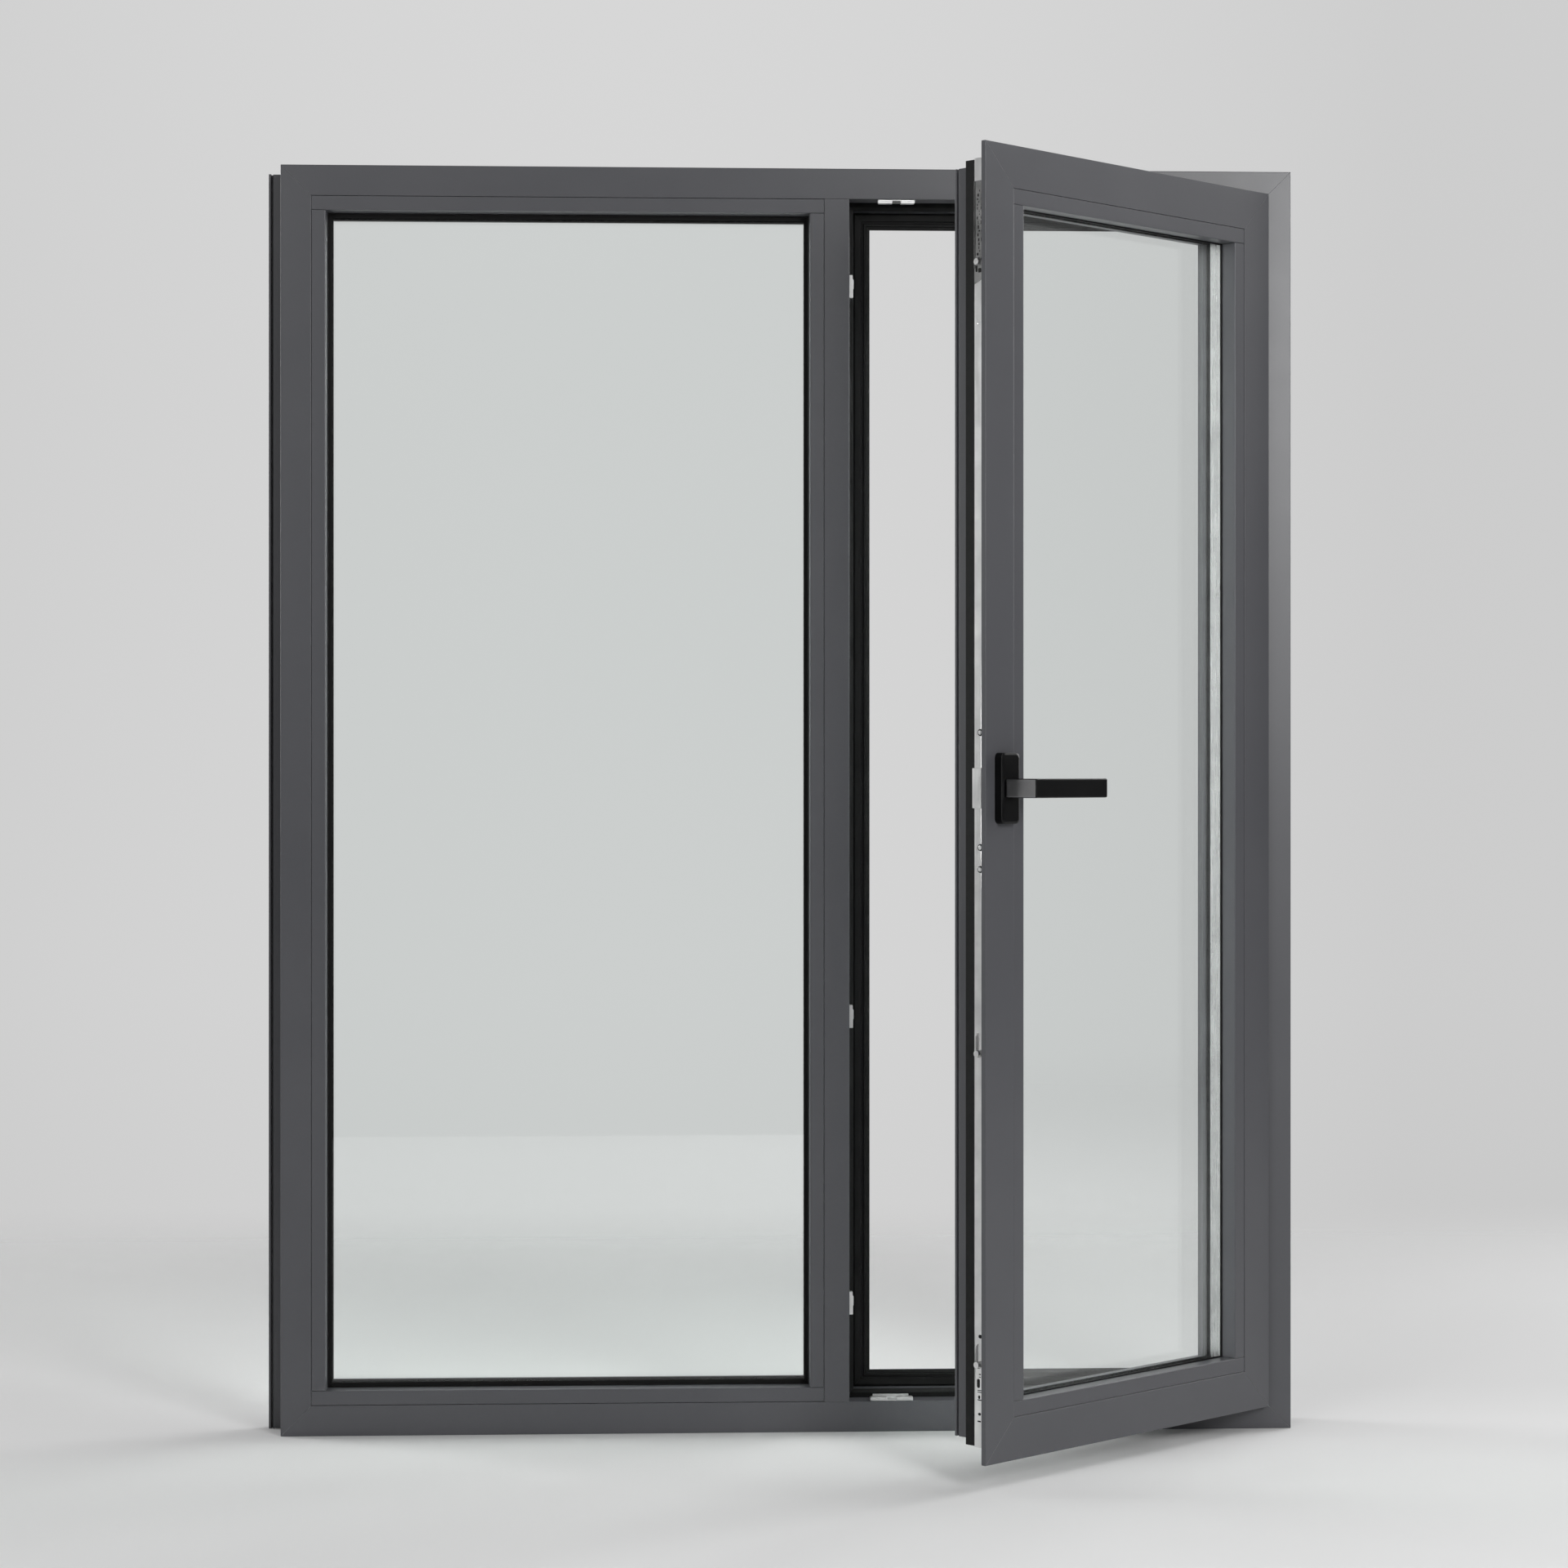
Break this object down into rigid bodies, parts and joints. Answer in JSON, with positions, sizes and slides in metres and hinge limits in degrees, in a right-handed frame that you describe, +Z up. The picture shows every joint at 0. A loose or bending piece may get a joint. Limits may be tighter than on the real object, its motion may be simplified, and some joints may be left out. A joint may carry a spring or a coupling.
{
  "type": "casement window",
  "caption": "Metal window with a fixed light beside an inward-opening casement vent on concealed hinges, locked by a lever handle and perimeter rod.",
  "frame": {"origin": "middle of the sill's bottom face, half way through the frame's depth", "axes": "+Z up along the frame's height, +X along the sill towards the hinge side of the vent, +Y from the room towards the outside"},
  "size_m": [1.219, 0.4509, 1.5],
  "materials": {
    "powder_coat": "satin graphite powder coat",
    "insulating_strip": "matt black",
    "glass": "clear, slightly green",
    "spacer": "mill finish with fine perforations",
    "gasket": "matt black",
    "glazing_block": "matt black",
    "bright_steel": "bright zinc plate",
    "black_handle": "satin black"
  },
  "bodies": {
    "frame": {"frame_head_inner": "powder_coat", "frame_sill_inner": "powder_coat", "frame_left_jamb_inner": "powder_coat", "frame_right_jamb_inner": "powder_coat", "frame_outer_rails": "powder_coat", "frame_outer_jambs": "powder_coat", "mullion_inner": "powder_coat", "mullion_outer": "powder_coat", "coupling_profile": "powder_coat", "fixed_bead_top": "powder_coat", "fixed_bead_bottom": "powder_coat", "fixed_bead_left": "powder_coat", "fixed_bead_right": "powder_coat", "frame_thermal_breaks": "insulating_strip", "fixed_panes": "glass", "fixed_spacer": "spacer", "fixed_gaskets": "gasket", "vent_stop_gasket": "gasket", "vent_centre_gasket": "gasket", "fixed_setting_blocks": "glazing_block", "mullion_keepers": "bright_steel", "head_keeper": "bright_steel", "sill_keeper": "bright_steel", "hinge_frame_plates": "bright_steel"},
    "sash": {"sash_top_rail_inner": "powder_coat", "sash_bottom_rail_inner": "powder_coat", "sash_lock_stile_inner": "powder_coat", "sash_hinge_stile_inner": "powder_coat", "sash_outer_rails": "powder_coat", "sash_outer_stiles": "powder_coat", "sash_bead_top": "powder_coat", "sash_bead_bottom": "powder_coat", "sash_bead_lock_side": "powder_coat", "sash_bead_hinge_side": "powder_coat", "sash_thermal_breaks": "insulating_strip", "sash_edge_seal": "insulating_strip", "sash_panes": "glass", "sash_spacer": "spacer", "sash_gaskets": "gasket", "sash_overlap_gasket": "gasket", "sash_setting_blocks": "glazing_block", "lock_faceplate": "bright_steel", "corner_drive_top": "bright_steel", "corner_drive_bottom": "bright_steel", "faceplate_screws": "bright_steel", "forend_block": "bright_steel", "gearbox": "bright_steel", "hinge_sash_plates": "bright_steel", "handle_rosette": "black_handle"},
    "handle": {"handle_lever": "black_handle", "handle_spindle": "bright_steel", "gearbox_follower": "bright_steel"},
    "lock_rod": {"lock_rod": "bright_steel"},
    "top_rod": {"top_rod": "bright_steel"},
    "bottom_rod": {"bottom_rod": "bright_steel"},
    "long_arms": {"hinge_long_arms": "bright_steel"},
    "short_arms": {"hinge_short_arms": "bright_steel"},
    "long_links": {"hinge_long_links": "bright_steel"},
    "short_links": {"hinge_short_links": "bright_steel"}
  },
  "joints": [
    {"name": "sash_swing", "type": "hinge", "parent": "frame", "child": "sash", "pos_m": [0.575, -0.045, 0.75], "axis": [0, 0, 1], "range_deg": [-42.6, 47.4]},
    {"name": "handle_turn", "type": "hinge", "parent": "sash", "child": "handle", "pos_m": [0.21992, -0.36947, 0.766], "axis": [-0.6769, 0.7361, 0], "range_deg": [0, 90]},
    {"name": "lock_rod_slide", "type": "slide", "parent": "sash", "child": "lock_rod", "axis": [0, 0, 1], "range_m": [0, 0.018]},
    {"name": "top_rod_slide", "type": "slide", "parent": "sash", "child": "top_rod", "axis": [0.7361, 0.6769, 0], "range_m": [0, 0.018]},
    {"name": "bottom_rod_slide", "type": "slide", "parent": "sash", "child": "bottom_rod", "axis": [0.7361, 0.6769, 0], "range_m": [-0.018, 0]},
    {"name": "long_arm_turn", "type": "hinge", "parent": "frame", "child": "long_arms", "pos_m": [0.55294, -0.02944, 0.75], "axis": [0, 0, 1], "range_deg": [-42.6, 47.4]},
    {"name": "short_arm_turn", "type": "hinge", "parent": "frame", "child": "short_arms", "pos_m": [0.53578, -0.01733, 0.75], "axis": [0, 0, 1], "range_deg": [-42.6, 47.4]},
    {"name": "long_link_turn", "type": "hinge", "parent": "sash", "child": "long_links", "pos_m": [0.48805, -0.10387, 0.75], "axis": [0, 0, 1], "range_deg": [-47.4, 42.6]},
    {"name": "short_link_turn", "type": "hinge", "parent": "sash", "child": "short_links", "pos_m": [0.45079, -0.1291, 0.75], "axis": [0, 0, 1], "range_deg": [-47.4, 42.6]}
  ],
  "couplings": [
    {"joint": "lock_rod_slide", "follows": "handle_turn", "m_per_rad": 0.011459},
    {"joint": "top_rod_slide", "follows": "handle_turn", "m_per_rad": 0.011459},
    {"joint": "bottom_rod_slide", "follows": "handle_turn", "m_per_rad": -0.011459},
    {"joint": "long_arm_turn", "follows": "sash_swing", "ratio": 1},
    {"joint": "short_arm_turn", "follows": "sash_swing", "ratio": 1},
    {"joint": "long_link_turn", "follows": "sash_swing", "ratio": -1},
    {"joint": "short_link_turn", "follows": "sash_swing", "ratio": -1}
  ]
}
